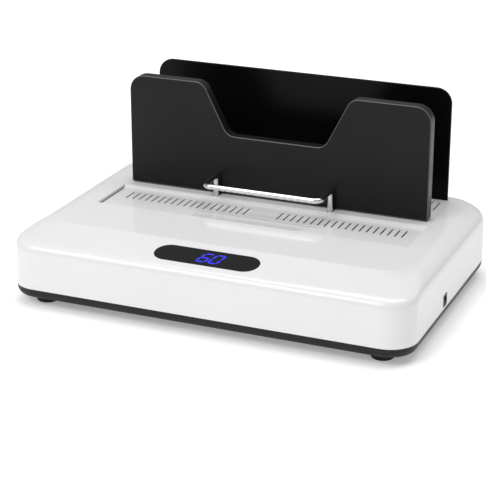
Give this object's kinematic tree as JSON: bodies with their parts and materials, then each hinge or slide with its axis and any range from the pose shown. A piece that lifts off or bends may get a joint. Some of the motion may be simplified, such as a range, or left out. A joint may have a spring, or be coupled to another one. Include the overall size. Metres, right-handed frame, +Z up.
{
  "type": "thermal binding machine",
  "caption": "Desktop thermal binding machine: white body, black guide plate sliding over a slotted heating channel, fixed rear plate, chrome pull handle and a display window.",
  "frame": {"origin": "on the table under the middle of the body, level with the undersides of the feet", "axes": "+X along the body to the user's right, +Y to the back of the machine, +Z up"},
  "size_m": [0.4078, 0.277, 0.188],
  "materials": {
    "shell_white": "smooth semi-gloss moulding",
    "base_black": "fine satin texture",
    "foot_rubber": "matte",
    "zinc_steel": "zinc plated",
    "frame_black": "satin heat-resistant moulding",
    "panel_white": "smooth semi-gloss moulding",
    "plate_coating_white": "white heat-proof coating",
    "bare_aluminium": "mill finish",
    "insulation_fibre": "woven glass fibre",
    "ceramic_white": "glazed ceramic",
    "rear_black": "satin, light sheen",
    "ground_steel": "ground rod",
    "lens_black": "polished smoked lens",
    "part_black": "moulded component",
    "board_green": "solder mask",
    "switch_black": "satin",
    "pin_brass": "plated",
    "core_steel": "laminated core, varnished",
    "part_blue": "moulded component",
    "guide_black": "satin, light sheen",
    "pad_nylon": "smooth nylon",
    "block_nylon": "smooth nylon",
    "handle_chrome": "bright plated"
  },
  "bodies": {
    "machine": {"top_shell": "shell_white", "base_tray": "base_black", "rubber_feet": "foot_rubber", "shell_screws": "zinc_steel", "bed_frame": "frame_black", "frame_screws": "zinc_steel", "vent_panel": "panel_white", "heating_plate": "plate_coating_white", "heater_pans": "zinc_steel", "heater_bars": "bare_aluminium", "heater_insulation": "insulation_fibre", "pan_screws": "zinc_steel", "thermostat": "zinc_steel", "thermal_fuse": "ceramic_white", "temperature_sensor": "ceramic_white", "rear_plate": "rear_black", "rear_plate_bracket": "zinc_steel", "rear_plate_screws": "zinc_steel", "slide_rods": "ground_steel", "display_window": "lens_black", "digit_module": "part_black", "display_board": "board_green", "display_screws": "zinc_steel", "switch_housing": "switch_black", "power_inlet": "switch_black", "inlet_pins": "pin_brass", "power_board": "board_green", "board_screws": "zinc_steel", "transformer": "core_steel", "relay": "part_blue", "capacitors": "part_black", "terminal_block": "part_blue", "heatsink": "bare_aluminium"},
    "guide": {"front_plate": "guide_black", "front_plate_back": "guide_black", "plate_screws": "zinc_steel", "glide_pads": "pad_nylon", "plate_brackets": "zinc_steel", "carriage_yoke": "zinc_steel", "yoke_screws": "zinc_steel", "slide_blocks": "block_nylon", "handle_rod": "handle_chrome", "handle_nuts": "zinc_steel"},
    "rocker": {"power_rocker": "switch_black"}
  },
  "joints": [
    {"name": "guide_slide", "type": "slide", "parent": "machine", "child": "guide", "axis": [0, 1, 0], "range_m": [0, 0.054]},
    {"name": "power_rocker_pivot", "type": "hinge", "parent": "machine", "child": "rocker", "pos_m": [0.19825, -0.0269, 0.02675], "axis": [0, 1, 0], "range_deg": [0, 16]}
  ]
}
